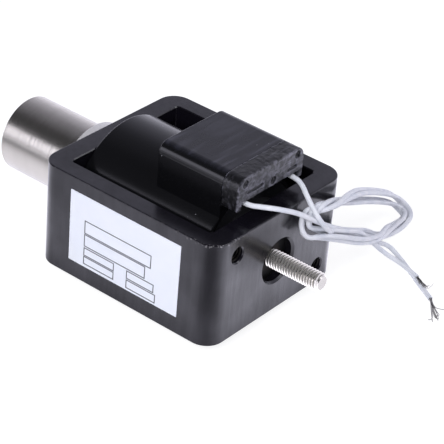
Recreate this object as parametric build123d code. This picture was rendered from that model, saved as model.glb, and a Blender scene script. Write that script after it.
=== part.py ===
"""Push pull solenoid in a thick rectangular steel frame, with a moulded coil and flying leads.

The origin is on the plunger's axis, in the plane of the frame's front mounting face.
+X is the way the push rod points, +Z is the side with the terminal block, and the label is on -Y.
Lengths are in millimetres.
"""
import math
import os

from build123d import *

# Frame: a slice of thick-walled rectangular tube, open at the top and the bottom
frame_length = 68.6
frame_width = 61.0
frame_height = 35.0
end_wall = 7.1
side_wall = 6.2
frame_corner_radius = 6.2
window_corner_radius = 1.2
frame_edge_radius = 0.4
window_edge_break = 0.3

# Front face: two tapped holes on a diagonal, and the hole that the rod comes out of
fixing_pcd = 46.5
fixing_angle = 29.1
fixing_hole_radius = 2.5
fixing_chamfer = 0.4
rod_hole_radius = 7.0
rod_hole_chamfer = 0.7

# Clearances
seat_clearance = 0.05
rod_clearance = 0.05
plunger_clearance = 0.08
tube_clearance = 0.15
end_of_stroke_gap = 0.3

# Plunger and push rod
plunger_radius = 12.5
plunger_reach = 34.3
plunger_end_chamfer = 0.5
plunger_tap_radius = 3.4
plunger_tap_depth = 14.0
stroke = 20.0
rod_radius = 2.65
rod_thread_radius = 2.95
rod_reach = 16.3
rod_thread_length = 19.1
rod_tip_chamfer = 0.8
rod_grip = 12.0

# Fixed core with a conical pole, its rod bearing and the ring that keeps the plunger off it
core_length = 18.0
core_spigot_length = 4.0
core_rod_hole_radius = 3.6
pole_cone_depth = 7.0
pole_cone_mouth_radius = 9.5
pole_cone_floor_radius = 5.5
rod_bush_radius = 4.5
rod_bush_length = 12.0
gap_washer_thickness = 0.5
gap_washer_bore_radius = 10.2

# Rear bush: the collar outside the rear wall, and the sleeve inside it
collar_radius = 14.8
collar_length = 6.1
collar_chamfer = 0.5
bush_sleeve_radius = 14.0

# Guide tube, bobbin and winding
tube_wall = 0.6
bobbin_wall = 1.2
bobbin_flange = 1.8
bobbin_neck_radius = 15.5
tape_thickness = 0.45
coil_front_gap = 4.5

# Coil moulding, with a narrow flat along its underside, and the terminal block on its crown
coil_side_gap = 1.9
coil_wall = 1.4
coil_edge_radius = 0.6
coil_flat_width = 6.0
block_width = 30.5
block_height = 8.8
block_length = 24.2
block_top_radius = 3.5
block_edge_radius = 0.4

# Terminal cover on the front of the block: drops are measured down from the block's top
cover_length = 6.1
cover_wall = 2.0
cover_skirt_drop = 10.4
cover_front_drop = 8.0
cover_mark_depth = 0.8
cover_corner_mark_radius = 1.25
cover_corner_mark_inset = 3.1
cover_corner_mark_drop = 2.1
cover_middle_mark_radius = 1.25
cover_middle_mark = (1.1, 6.3)
cover_slot_width = 1.1
cover_slots = ((-7.25, 5.5, 7.5), (10.0, 5.8, 4.6))

# Terminal tags, where the winding meets the leads
lead_inset = 4.25
lead_drop = 9.2
tag_width = 2.4
tag_thickness = 0.5
tag_inside = 3.0
tag_outside = 2.6

# Label on the side face
label_length = 42.9
label_height = 24.7
label_thickness = 0.12
label_corner_radius = 0.2
label_centre = (-34.05, 0.75)

# Leads: two thin stranded wires, wound together in a loose loop that droops to the table
lead_radius = 0.78
strand_radius = 0.5
hank_radius = 2.4
near_lead_points = [
    (-4.6, -11.0, 22.0),
    (-1.4, -9.4, 22.0),
    (2.6, -5.4, 21.0),
    (5.1, 1.2, 17.8),
    (6.2, 7.4, 13.6),
    (6.2, 14.4, 6.8),
]
far_lead_points = [
    (-4.6, 11.0, 22.0),
    (-1.2, 10.5, 21.5),
    (2.9, 9.0, 19.2),
    (7.4, 8.0, 15.9),
    (8.9, 10.2, 12.6),
    (8.6, 14.0, 8.9),
    (6.6, 17.8, 5.0),
]
hank_points = [
    (4.8, 13.2, 6.0),
    (3.8, 8.6, 7.8),
    (3.1, 6.6, 10.6),
    (2.9, 7.0, 13.6),
    (3.5, 9.8, 15.4),
    (4.6, 16.6, 14.4),
    (1.6, 30.7, 9.6),
    (-2.7, 47.3, 1.6),
    (-5.9, 61.4, -5.9),
    (-8.2, 70.4, -12.7),
    (-9.3, 75.0, -16.7),
    (-8.5, 77.5, -18.6),
    (-5.6, 78.2, -19.5),
    (-2.8, 75.9, -19.5),
    (-1.9, 71.7, -19.5),
    (-1.4, 65.6, -18.9),
    (0.2, 55.8, -16.0),
    (2.4, 46.6, -11.9),
    (4.7, 34.1, -5.5),
    (5.3, 22.2, 1.5),
]
near_tail_points = [
    (3.6, 40.8, -9.2),
    (4.0, 47.6, -15.2),
    (5.4, 51.2, -18.6),
    (9.2, 52.4, -19.9),
    (14.2, 51.6, -19.5),
    (19.4, 51.4, -20.2),
]
far_tail_points = [
    (2.6, 49.2, -12.2),
    (2.6, 55.6, -18.2),
    (7.2, 56.0, -21.0),
    (14.7, 52.0, -21.4),
    (21.4, 47.8, -21.4),
    (27.7, 44.2, -21.4),
]
near_strand_tip = (24.4, 47.8, -21.6)
far_strand_tip = (35.4, 36.2, -21.6)

# Stations along the axis and radii, worked out from the sizes above
rear_face = -frame_length
window_rear = rear_face + end_wall
window_front = -end_wall
coil_front = window_front - coil_front_gap
core_rear = window_front - core_length
plunger_front = core_rear - gap_washer_thickness - end_of_stroke_gap - stroke
plunger_rear = rear_face - plunger_reach
coil_radius = frame_width / 2 - side_wall - coil_side_gap
coil_underside = -math.sqrt(coil_radius**2 - (coil_flat_width / 2) ** 2)
block_top = coil_radius + block_height
cover_skirt = block_top - cover_skirt_drop
lead_y = block_width / 2 - lead_inset
lead_height = block_top - lead_drop
tube_bore = plunger_radius + tube_clearance
tube_outside = tube_bore + tube_wall
bobbin_bore = tube_outside + seat_clearance
bobbin_outside = bobbin_bore + bobbin_wall
moulding_bore = coil_radius - coil_wall
flange_radius = moulding_bore - seat_clearance
tape_outside = flange_radius
winding_outside = tape_outside - tape_thickness
winding_rear = window_rear + bobbin_flange
winding_front = coil_front - bobbin_flange
block_rear = coil_front - block_length
cover_front = coil_front + cover_length
tag_front = coil_front + tag_outside


def along_x(radius, start, end):
    """A solid cylinder on the plunger's axis, from one station to the other."""
    return Pos((start + end) / 2, 0, 0) * Rot(0, 90, 0) * Cylinder(radius, end - start)


def ring_along_x(outside, bore, start, end):
    """A round sleeve on the plunger's axis."""
    return along_x(outside, start, end) - along_x(bore, start - 1, end + 1)


def cone_along_x(start_radius, end_radius, start, end):
    """A cut-off cone on the plunger's axis, with its first radius at the first station."""
    return Pos((start + end) / 2, 0, 0) * Rot(0, 90, 0) * Cone(start_radius, end_radius, end - start)


def block_from(start, end, bottom):
    """The terminal block's section, with rounded long top edges, between two stations."""
    height = block_top - bottom
    body = Pos((start + end) / 2, 0, bottom + height / 2) * Box(end - start, block_width, height)
    long_top_edges = body.faces().sort_by(Axis.Z)[-1].edges().filter_by(Axis.X)
    return fillet(long_top_edges, block_top_radius)


def fixing_places():
    """The two tapped holes, as (y, z): one upper on the label side, one lower on the far side."""
    angle = math.radians(fixing_angle)
    y = -fixing_pcd / 2 * math.cos(angle)
    z = fixing_pcd / 2 * math.sin(angle)
    return [(y, z), (-y, -z)]


def make_frame():
    """The steel ring: rounded corners, the window for the coil, and the holes in both end walls."""
    middle = Pos(-frame_length / 2, 0, 0)
    outline = RectangleRounded(frame_length, frame_width, frame_corner_radius)
    window = RectangleRounded(frame_length - 2 * end_wall, frame_width - 2 * side_wall, window_corner_radius)
    outer = middle * extrude(outline, frame_height / 2, both=True)
    rims = outer.faces().filter_by(Axis.Z).edges()
    outer = fillet(rims, frame_edge_radius)
    ring = outer - middle * extrude(window, frame_height, both=True)
    window_rims = [
        edge
        for face in ring.faces().filter_by(Axis.Z)
        for edge in face.inner_wires()[0].edges()
    ]
    ring = chamfer(window_rims, window_edge_break)
    ring -= along_x(rod_hole_radius, window_front - 1, 1)
    ring -= cone_along_x(rod_hole_radius, rod_hole_radius + rod_hole_chamfer, -rod_hole_chamfer, 0)
    ring -= along_x(bush_sleeve_radius, rear_face - 1, window_rear + 1)
    for y, z in fixing_places():
        place = Pos(0, y, z)
        ring -= place * along_x(fixing_hole_radius, window_front - 1, 1)
        mouth = fixing_hole_radius + fixing_chamfer
        ring -= place * cone_along_x(fixing_hole_radius, mouth, -fixing_chamfer, 0)
    return ring


def make_label():
    """A thin sticker on the side face, bare."""
    x, z = label_centre
    sheet = extrude(RectangleRounded(label_length, label_height, label_corner_radius), label_thickness)
    return Pos(x, -frame_width / 2, z) * Rot(90, 0, 0) * sheet


def make_bobbin():
    """The winding's former: a tube, two flanges, and a neck that reaches the front wall."""
    body = along_x(bobbin_outside, window_rear, window_front)
    body += along_x(flange_radius, window_rear, winding_rear)
    body += along_x(flange_radius, winding_front, coil_front)
    body += along_x(bobbin_neck_radius, coil_front, window_front)
    return body - along_x(bobbin_bore, window_rear - 1, window_front + 1)


def make_winding():
    """The copper coil, which fills the former."""
    start = winding_rear + seat_clearance
    end = winding_front - seat_clearance
    return ring_along_x(winding_outside, bobbin_outside + seat_clearance, start, end)


def make_winding_tape():
    """The insulating wrap round the coil."""
    start = winding_rear + seat_clearance
    end = winding_front - seat_clearance
    return ring_along_x(tape_outside, winding_outside + seat_clearance, start, end)


def make_coil_moulding():
    """The moulded sleeve round the coil, the terminal block on it, and the tongue under the cover."""
    sleeve = along_x(coil_radius, window_rear, coil_front)
    rims = sleeve.edges().filter_by(GeomType.CIRCLE)
    body = fillet(rims, coil_edge_radius)
    below = Pos((window_rear + coil_front) / 2, 0, coil_underside - coil_wall / 2)
    body -= below * Box(frame_length, coil_radius, coil_wall)
    block = block_from(block_rear, coil_front, 0)
    rear_edges = block.faces().sort_by(Axis.X)[0].edges().sort_by(Axis.Z)[1:]
    body += fillet(rear_edges, block_edge_radius)
    tongue_front = cover_front - cover_wall - seat_clearance
    tongue_bottom = lead_height + lead_radius + seat_clearance
    tongue_top = block_top - cover_wall - seat_clearance
    tongue_width = block_width - 2 * cover_wall - 2 * seat_clearance
    tongue_place = Pos((coil_front + tongue_front) / 2, 0, (tongue_bottom + tongue_top) / 2)
    body += tongue_place * Box(tongue_front - coil_front, tongue_width, tongue_top - tongue_bottom)
    body -= along_x(moulding_bore, window_rear - 1, coil_front + 1)
    for y in (-lead_y, lead_y):
        pocket_length = tag_inside + seat_clearance
        pocket_place = Pos(coil_front - pocket_length / 2, y, lead_height)
        body -= pocket_place * Box(
            pocket_length, tag_width + 2 * seat_clearance, tag_thickness + 2 * seat_clearance
        )
    return body


def make_terminal_cover():
    """The cap on the block's front: a hood open at the bottom, with moulding marks on its face."""
    hood = block_from(coil_front, cover_front, cover_skirt)
    front_edges = hood.faces().sort_by(Axis.X)[-1].edges().sort_by(Axis.Z)[1:]
    hood = fillet(front_edges, block_edge_radius)
    inner_front = cover_front - cover_wall
    inner_top = block_top - cover_wall
    room = Pos((coil_front + inner_front) / 2, 0, (cover_skirt + inner_top) / 2) * Box(
        inner_front - coil_front, block_width - 2 * cover_wall, inner_top - cover_skirt
    )
    lead_gap_height = cover_skirt_drop - cover_front_drop
    lead_gap = Pos(cover_front, 0, cover_skirt + lead_gap_height / 2) * Box(
        2 * cover_wall, block_width - 2 * cover_wall, lead_gap_height
    )
    hood -= room + lead_gap
    for side in (-1, 1):
        y = side * (block_width / 2 - cover_corner_mark_inset)
        z = block_top - cover_corner_mark_drop
        hood -= Pos(0, y, z) * along_x(cover_corner_mark_radius, cover_front - cover_mark_depth, cover_front + 1)
    y, drop = cover_middle_mark
    hood -= Pos(0, y, block_top - drop) * along_x(cover_middle_mark_radius, cover_front - cover_mark_depth, cover_front + 1)
    for y, drop, length in cover_slots:
        slot = extrude(SlotOverall(length, cover_slot_width), cover_mark_depth, both=True)
        hood -= Pos(cover_front, y, block_top - drop) * Rot(0, 90, 0) * Rot(0, 0, 90) * slot
    return hood


def make_terminal_tags():
    """The pair of tags that come out of the block's front, one for each lead."""
    length = tag_inside + tag_outside
    tag = Box(length, tag_width, tag_thickness)
    x = coil_front - tag_inside + length / 2
    return Compound([Pos(x, y, lead_height) * tag for y in (-lead_y, lead_y)])


def make_guide_tube():
    """The thin brass tube in which the plunger slides."""
    return ring_along_x(tube_outside, tube_bore, window_rear, window_front)


def make_fixed_core():
    """The pole piece: a spigot in the front wall, a hole for the rod, and a conical seat at the rear."""
    core = along_x(tube_bore - seat_clearance, core_rear, window_front)
    spigot_front = window_front + core_spigot_length
    core += along_x(rod_hole_radius - seat_clearance, window_front, spigot_front)
    cone_floor = core_rear + pole_cone_depth
    core -= cone_along_x(pole_cone_mouth_radius, pole_cone_floor_radius, core_rear, cone_floor)
    core -= along_x(core_rod_hole_radius, core_rear - 1, spigot_front + 1)
    core -= along_x(rod_bush_radius + seat_clearance, spigot_front - rod_bush_length, spigot_front + 1)
    return core


def make_rod_bush():
    """The bearing of the push rod, flush with the front of the fixed core."""
    spigot_front = window_front + core_spigot_length
    bush_rear = spigot_front - rod_bush_length
    return ring_along_x(rod_bush_radius, rod_radius + rod_clearance, bush_rear, spigot_front)


def make_gap_washer():
    """The thin ring on the fixed core's rear rim."""
    outside = tube_bore - seat_clearance
    return ring_along_x(outside, gap_washer_bore_radius, core_rear - gap_washer_thickness, core_rear)


def make_rear_bush():
    """The flanged bush of the plunger: a collar behind the rear wall and a sleeve through it."""
    collar = along_x(collar_radius, rear_face - collar_length, rear_face)
    outer_rim = collar.edges().filter_by(GeomType.CIRCLE).sort_by(Axis.X)[0]
    bush = chamfer(outer_rim, collar_chamfer)
    bush += along_x(bush_sleeve_radius - seat_clearance, rear_face, window_rear)
    bore = plunger_radius + plunger_clearance
    return bush - along_x(bore, rear_face - collar_length - 1, window_rear + 1)


def make_plunger():
    """The steel plunger: a conical nose for the pole, a socket for the rod, a tapped hole at the rear."""
    body = along_x(plunger_radius, plunger_rear, plunger_front)
    rims = body.edges().filter_by(GeomType.CIRCLE)
    body = chamfer(rims, plunger_end_chamfer)
    tip_gap = gap_washer_thickness + end_of_stroke_gap
    slope = (pole_cone_mouth_radius - pole_cone_floor_radius) / pole_cone_depth
    nose_base = pole_cone_mouth_radius - slope * tip_gap
    nose_tip = pole_cone_floor_radius - slope * tip_gap
    nose_front = plunger_front + pole_cone_depth
    body += cone_along_x(nose_base, nose_tip, plunger_front, nose_front)
    socket_floor = plunger_front - rod_grip
    body -= along_x(rod_radius + seat_clearance, socket_floor, nose_front + 1)
    body -= along_x(plunger_tap_radius, plunger_rear - 1, plunger_rear + plunger_tap_depth)
    return body


def make_push_rod():
    """The rod: a plain shank in the plunger and the bearing, and its threaded end outside."""
    thread_start = rod_reach - rod_thread_length
    shank = along_x(rod_radius, plunger_front - rod_grip, thread_start)
    thread = along_x(rod_thread_radius, thread_start, rod_reach)
    tip_rim = thread.edges().filter_by(GeomType.CIRCLE).sort_by(Axis.X)[-1]
    return shank + chamfer(tip_rim, rod_tip_chamfer)


def bend_radii(points):
    """The largest tangent arcs that the runs allow, one for each inner point of a route."""
    radii = []
    for before, here, after in zip(points, points[1:], points[2:]):
        first = Vector(*here) - Vector(*before)
        second = Vector(*after) - Vector(*here)
        turn = math.radians(first.get_angle(second))
        radii.append(0.45 * min(first.length, second.length) / math.tan(turn / 2))
    return radii


def make_tube(name, points, radius):
    """A round tube along straight runs and tangent arcs."""
    radii = bend_radii(points)
    path = FilletPolyline(*points, radius=radii)
    section = Plane(path @ 0, z_dir=path % 0) * Circle(radius)
    tube = sweep(section, path=path)
    share = tube.volume / (math.pi * radius**2 * path.length)
    bends = ", ".join(f"{value:.1f}" for value in radii)
    print(f"{name}: length {path.length:.1f}, volume share {share:.4f}, bend radii {bends}")
    return tube


def lead_route(side, points):
    """A lead's points, from its tag straight out of the cover and on to the loop."""
    return [(tag_front, side * lead_y, lead_height), *points]


def make_hank():
    """The outer shape of the loose loop that both leads are wound in, made as two half loops."""
    half = len(hank_points) // 2
    seams = [tuple((Vector(*hank_points[i - 1]) + Vector(*hank_points[i])) / 2) for i in (0, half)]
    left = make_tube("lead_hank, left", [seams[0], *hank_points[:half], seams[1]], hank_radius)
    right = make_tube("lead_hank, right", [seams[1], *hank_points[half:], seams[0]], hank_radius)
    return left + right


def make_strands(tail_points, tip):
    """The bare end of a lead, from the end of its insulation to the tip of its strands."""
    start = Vector(*tail_points[-1])
    run = Vector(*tip) - start
    return Plane(start, z_dir=run) * Pos(0, 0, run.length / 2) * Cylinder(strand_radius, run.length)


nodes = {
    "frame": make_frame(),
    "label": make_label(),
    "bobbin": make_bobbin(),
    "winding": make_winding(),
    "winding_tape": make_winding_tape(),
    "coil_moulding": make_coil_moulding(),
    "terminal_cover": make_terminal_cover(),
    "terminal_tags": make_terminal_tags(),
    "guide_tube": make_guide_tube(),
    "fixed_core": make_fixed_core(),
    "rod_bush": make_rod_bush(),
    "gap_washer": make_gap_washer(),
    "rear_bush": make_rear_bush(),
    "plunger": make_plunger(),
    "push_rod": make_push_rod(),
    "near_lead": make_tube("near_lead", lead_route(-1, near_lead_points), lead_radius),
    "far_lead": make_tube("far_lead", lead_route(1, far_lead_points), lead_radius),
    "lead_hank": make_hank(),
    "near_tail": make_tube("near_tail", near_tail_points, lead_radius),
    "far_tail": make_tube("far_tail", far_tail_points, lead_radius),
    "near_strands": make_strands(near_tail_points, near_strand_tip),
    "far_strands": make_strands(far_tail_points, far_strand_tip),
}

os.makedirs("parts", exist_ok=True)
for name, solid in nodes.items():
    export_step(solid, f"parts/{name}.step")
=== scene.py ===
"""Looks of a push pull solenoid: finishes, threads, wires, light and camera.

Every piece is in metres in the frame of the solids: the origin is on the plunger's axis in the
plane of the front mounting face, +X is the way the rod points, +Z the side of the terminal block.
"""

import logging
import math
import random
from dataclasses import dataclass
from enum import Enum
from typing import Dict, List, Optional, Sequence, Tuple, Union

import bpy
from mathutils import Matrix, Vector


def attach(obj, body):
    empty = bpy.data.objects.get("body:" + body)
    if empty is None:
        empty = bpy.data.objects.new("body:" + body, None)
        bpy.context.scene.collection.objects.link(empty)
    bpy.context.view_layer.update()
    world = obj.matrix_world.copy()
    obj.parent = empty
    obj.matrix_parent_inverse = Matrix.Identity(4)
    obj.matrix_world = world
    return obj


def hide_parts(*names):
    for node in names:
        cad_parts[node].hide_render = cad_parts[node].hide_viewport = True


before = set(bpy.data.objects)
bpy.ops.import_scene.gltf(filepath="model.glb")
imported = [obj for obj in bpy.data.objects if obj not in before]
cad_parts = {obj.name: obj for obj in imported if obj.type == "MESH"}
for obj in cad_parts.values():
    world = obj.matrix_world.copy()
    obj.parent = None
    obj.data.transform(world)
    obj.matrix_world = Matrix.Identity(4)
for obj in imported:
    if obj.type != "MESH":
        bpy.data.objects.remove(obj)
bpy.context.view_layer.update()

LOG = logging.getLogger("solenoid")
MM = 0.001
WELD = 0.0005 * MM

Colour = Tuple[float, float, float, float]
Point = Tuple[float, float, float]
Outline = Sequence[Tuple[float, float]]
Number = Union[float, "Shade"]
Sockets = Dict[str, object]
EVEN: Point = (1.0, 1.0, 1.0)


class Body(Enum):
    """The two bodies that pieces ride on."""

    STATOR = "stator"
    ARMATURE = "armature"


def tone(red: int, green: int, blue: int) -> Colour:
    """Turns a colour in screen values into the linear one that shaders use.

    Args:
        red: Red from 0 to 255.
        green: Green from 0 to 255.
        blue: Blue from 0 to 255.

    Returns:
        The linear colour with full opacity.
    """
    parts = []
    for value in (red, green, blue):
        share = value / 255.0
        parts.append(share / 12.92 if share <= 0.04045 else ((share + 0.055) / 1.055) ** 2.4)
    return (parts[0], parts[1], parts[2], 1.0)


class Shade:
    """An output socket whose arithmetic adds Math nodes to its tree."""

    def __init__(self, book: "NodeBook", socket: bpy.types.NodeSocket) -> None:
        """Keeps the socket and the book that adds nodes beside it."""
        self.book = book
        self.socket = socket

    def math(self, operation: str, *values: Number) -> "Shade":
        """Adds one Math node with these inputs in order, and gives its result."""
        return self.book.node("ShaderNodeMath", {"operation": operation}, dict(enumerate(values)))

    def __add__(self, other: Number) -> "Shade":
        """Sum."""
        return self.math("ADD", self, other)

    def __radd__(self, other: Number) -> "Shade":
        """Sum, with the number first."""
        return self.math("ADD", other, self)

    def __sub__(self, other: Number) -> "Shade":
        """Difference."""
        return self.math("SUBTRACT", self, other)

    def __rsub__(self, other: Number) -> "Shade":
        """Difference, with the number first."""
        return self.math("SUBTRACT", other, self)

    def __mul__(self, other: Number) -> "Shade":
        """Product."""
        return self.math("MULTIPLY", self, other)

    def __rmul__(self, other: Number) -> "Shade":
        """Product, with the number first."""
        return self.math("MULTIPLY", other, self)

    def __pow__(self, other: Number) -> "Shade":
        """Power."""
        return self.math("POWER", self, other)

    def __abs__(self) -> "Shade":
        """Size without sign."""
        return self.math("ABSOLUTE", self)

    def over(self, other: Number) -> "Shade":
        """The larger of two values."""
        return self.math("MAXIMUM", self, other)

    def under(self, other: Number) -> "Shade":
        """The smaller of two values."""
        return self.math("MINIMUM", self, other)

    def below(self, other: Number) -> "Shade":
        """One where this is less than the other value, else nought."""
        return self.math("LESS_THAN", self, other)

    def step(self, low: float, high: float) -> "Shade":
        """Rises smoothly from nought at low to one at high.

        Args:
            low: The value that gives nought.
            high: The value that gives one.

        Returns:
            The smooth step.
        """
        settings = {"interpolation_type": "SMOOTHSTEP", "clamp": True}
        return self.book.node(
            "ShaderNodeMapRange", settings, {"Value": self, "From Min": low, "From Max": high}
        )


class NodeBook:
    """Adds nodes to one tree, and links them."""

    def __init__(self, tree: bpy.types.NodeTree) -> None:
        """Starts on an empty tree."""
        self.tree = tree
        tree.nodes.clear()

    def plug(self, socket: bpy.types.NodeSocket, value: object) -> None:
        """Links a socket, or sets its value.

        Args:
            socket: The input socket.
            value: A link, or a plain value.
        """
        if isinstance(value, Shade):
            self.tree.links.new(value.socket, socket)
        else:
            socket.default_value = value

    def node(
        self,
        kind: str,
        settings: Optional[Dict[str, object]] = None,
        inputs: Optional[Dict[Union[str, int], object]] = None,
        output: Union[str, int] = 0,
    ) -> Shade:
        """Adds one node.

        Args:
            kind: The node's type.
            settings: Its properties, set first, with a ramp's stops under "stops".
            inputs: Values or links of its sockets, by name or place.
            output: The output that is handed back.

        Returns:
            That output.
        """
        made = self.tree.nodes.new(kind)
        for name, value in (settings or {}).items():
            if name == "stops":
                self._stops(made.color_ramp, value)
            else:
                setattr(made, name, value)
        for key, value in (inputs or {}).items():
            self.plug(made.inputs[key], value)
        return Shade(self, made.outputs[output] if made.outputs else None)

    @staticmethod
    def _stops(ramp: bpy.types.ColorRamp, stops: Sequence[Tuple[float, Colour]]) -> None:
        """Gives a ramp its stops.

        Args:
            ramp: The ramp.
            stops: Places and colours, in order.
        """
        while len(ramp.elements) < len(stops):
            ramp.elements.new(1.0)
        for element, (place, colour) in zip(ramp.elements, stops):
            element.position = place
            element.color = colour

    def place(self, stretch: Point = EVEN) -> Shade:
        """Object coordinates, stretched along the axes.

        Args:
            stretch: Scale along each axis.

        Returns:
            The coordinates as a vector.
        """
        plain = self.node("ShaderNodeTexCoord", output="Object")
        if stretch == EVEN:
            return plain
        return self.node("ShaderNodeMapping", None, {"Vector": plain, "Scale": stretch})

    def axes(self) -> Tuple[Shade, Shade, Shade]:
        """Splits the object coordinates.

        Returns:
            The three values.
        """
        split = self.node("ShaderNodeSeparateXYZ", None, {"Vector": self.place()}, "X")
        outputs = split.socket.node.outputs
        return split, Shade(self, outputs["Y"]), Shade(self, outputs["Z"])

    def noise(
        self, scale: float, detail: float = 2.0, stretch: Point = EVEN, warp: float = 0.0
    ) -> Shade:
        """Cloudy noise from nought to one.

        Args:
            scale: Features to the metre.
            detail: Finer layers added.
            stretch: Scale along each axis, for grain.
            warp: How far the pattern is distorted.

        Returns:
            The noise value.
        """
        inputs = {
            "Vector": self.place(stretch),
            "Scale": scale,
            "Detail": detail,
            "Distortion": warp,
        }
        return self.node("ShaderNodeTexNoise", None, inputs)

    def specks(self, scale: float, size: float, share: float) -> Shade:
        """Small round specks thinly scattered.

        Args:
            scale: Cells to the metre, one speck at most in each.
            size: Radius of a speck as a share of its cell.
            share: Share of the cells that hold one.

        Returns:
            One inside a speck, else nought.
        """
        cell = self.node("ShaderNodeTexVoronoi", None, {"Vector": self.place(), "Scale": scale})
        colour = Shade(self, cell.socket.node.outputs["Color"])
        pick = self.node("ShaderNodeSeparateColor", None, {"Color": colour})
        return (1.0 - cell.step(size * 0.5, size)) * pick.below(share)

    def mix(self, factor: Number, first: object, second: object) -> Shade:
        """Blends two colours or links: nought gives the first, one the second."""
        settings = {"data_type": "RGBA", "clamp_factor": True}
        return self.node("ShaderNodeMix", settings, {0: factor, 6: first, 7: second}, 2)

    def bump(self, height: Shade, depth: float) -> Shade:
        """Turns a height from nought to one into a normal, with the depth in metres."""
        return self.node("ShaderNodeBump", None, {"Height": height, "Distance": depth}, "Normal")


@dataclass(frozen=True)
class Finish:
    """A surface finish; its shade method says what varies and what is the same all over."""

    name: str

    def shade(self, book: NodeBook) -> Sockets:
        """Gives the values and links of the surface shader's sockets."""
        raise NotImplementedError

    def material(self) -> bpy.types.Material:
        """Makes the finish as a material.

        Returns:
            The material, with its node tree.
        """
        made = bpy.data.materials.new(self.name)
        made.use_nodes = True
        book = NodeBook(made.node_tree)
        surface = book.node("ShaderNodeBsdfPrincipled", None, self.shade(book))
        book.node("ShaderNodeOutputMaterial", None, {"Surface": surface})
        return made


@dataclass(frozen=True)
class SatinPaint(Finish):
    """Satin black coat on the frame, chipped to bare steel along its upper front edge."""

    paint: Colour = tone(13, 12, 16)
    thin_paint: Colour = tone(21, 19, 27)
    bare: Colour = tone(150, 148, 148)
    centre_x: float = -34.3 * MM
    straight_x: float = 28.1 * MM
    straight_y: float = 24.3 * MM
    corner: float = 6.2 * MM
    top: float = 17.5 * MM
    wear_spot: Point = (-4.0 * MM, -27.0 * MM, 17.5 * MM)
    wear_reach: Tuple[float, float] = (3.0 * MM, 13.0 * MM)

    def shade(self, book: NodeBook) -> Sockets:
        """Coat with soft mottling, drawn grain on the flats, and worn spots.

        Args:
            book: The nodes of the material.

        Returns:
            Values and links of the surface shader's sockets.
        """
        x, y, z = book.axes()
        across = (abs(x - self.centre_x) - self.straight_x).over(0.0)
        aside = (abs(y) - self.straight_y).over(0.0)
        rim = ((across**2.0 + aside**2.0) ** 0.5).step(self.corner * 0.88, self.corner * 0.985)
        upper = z.step(self.top - 1.3 * MM, self.top - 0.3 * MM)
        spot_x, spot_y, spot_z = self.wear_spot
        away = ((x - spot_x) ** 2.0 + (y - spot_y) ** 2.0 + (z - spot_z) ** 2.0) ** 0.5
        handled = 1.0 - away.step(*self.wear_reach)
        chips = book.noise(1300.0, 3.0).step(0.54, 0.64)
        worn = rim * upper * chips * (handled * 0.85 + 0.05)
        cloud = book.noise(90.0, 3.0)
        grain = book.noise(700.0, 3.0, (1.0, 1.0, 0.07), 0.3)
        peel = book.noise(1500.0, 3.0)
        dull = 1.0 - z.step(self.top - 0.4 * MM, self.top - 0.1 * MM) * 0.3
        gloss = 0.26 + grain.step(0.36, 0.66) * 0.14 + cloud.step(0.35, 0.65) * 0.24
        coat = book.mix(cloud.step(0.3, 0.75) * 0.6 + grain * 0.4, self.paint, self.thin_paint)
        return {
            "Base Color": book.mix(worn, coat, self.bare),
            "Metallic": worn * 0.9,
            "Roughness": 0.14 + cloud * 0.1 + grain * 0.06,
            "Normal": book.bump(peel * 0.5 + grain * 0.5, 0.016 * MM),
            "IOR": 1.41,
            "Coat Weight": gloss * dull,
            "Coat Roughness": 0.16,
            "Coat IOR": 1.5,
        }


@dataclass(frozen=True)
class Moulding(Finish):
    """Glossy black moulding with a little dust, more satin and scuffed on its flat top.

    The flat top is painted paler and bluer as sheen, with painted sheen streaks.
    """

    body: Colour = tone(15, 15, 17)
    # paler, bluer tone of the flat top: scuffing with a painted sheen
    rubbed_and_highlit: Colour = tone(38, 38, 48)
    dust: Colour = tone(190, 190, 195)
    flat_top: float = 31.2 * MM

    def shade(self, book: NodeBook) -> Sockets:
        """Gloss with faint flow marks, a scuffed top painted paler as sheen, and specks of dust.

        Args:
            book: The nodes of the material.

        Returns:
            Values and links of the surface shader's sockets.
        """
        _, _, z = book.axes()
        top = z.step(self.flat_top - 0.9 * MM, self.flat_top - 0.1 * MM)
        scuff = book.noise(420.0, 4.0, (1.0, 0.16, 1.0), 0.4).step(0.42, 0.75)
        flow = book.noise(160.0, 2.0, (0.3, 1.0, 1.0))
        dust = book.specks(520.0, 0.08, 0.07)
        # streaks of painted sheen across the flat top, which also raise its coat there
        sheen_streaks = book.noise(900.0, 2.0, (1.0, 0.04, 1.0), 0.2).step(0.6, 0.7)
        # the flat top is painted paler as sheen all over, more so in the scuffs and the painted
        # sheen streaks
        plain = book.mix(top * (0.3 + scuff * 0.5 + sheen_streaks * 0.6), self.body, self.rubbed_and_highlit)
        return {
            "Base Color": book.mix(dust * 0.8, plain, self.dust),
            "Roughness": 0.14 + flow * 0.08 + top * (0.1 + scuff * 0.14) + dust * 0.3,
            "Normal": book.bump(flow * 0.7 + book.noise(2400.0) * 0.3, 0.006 * MM),
            "Coat Weight": top * (scuff * 0.3 + sheen_streaks * 0.3),
            "Coat Roughness": 0.25,
        }


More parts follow.
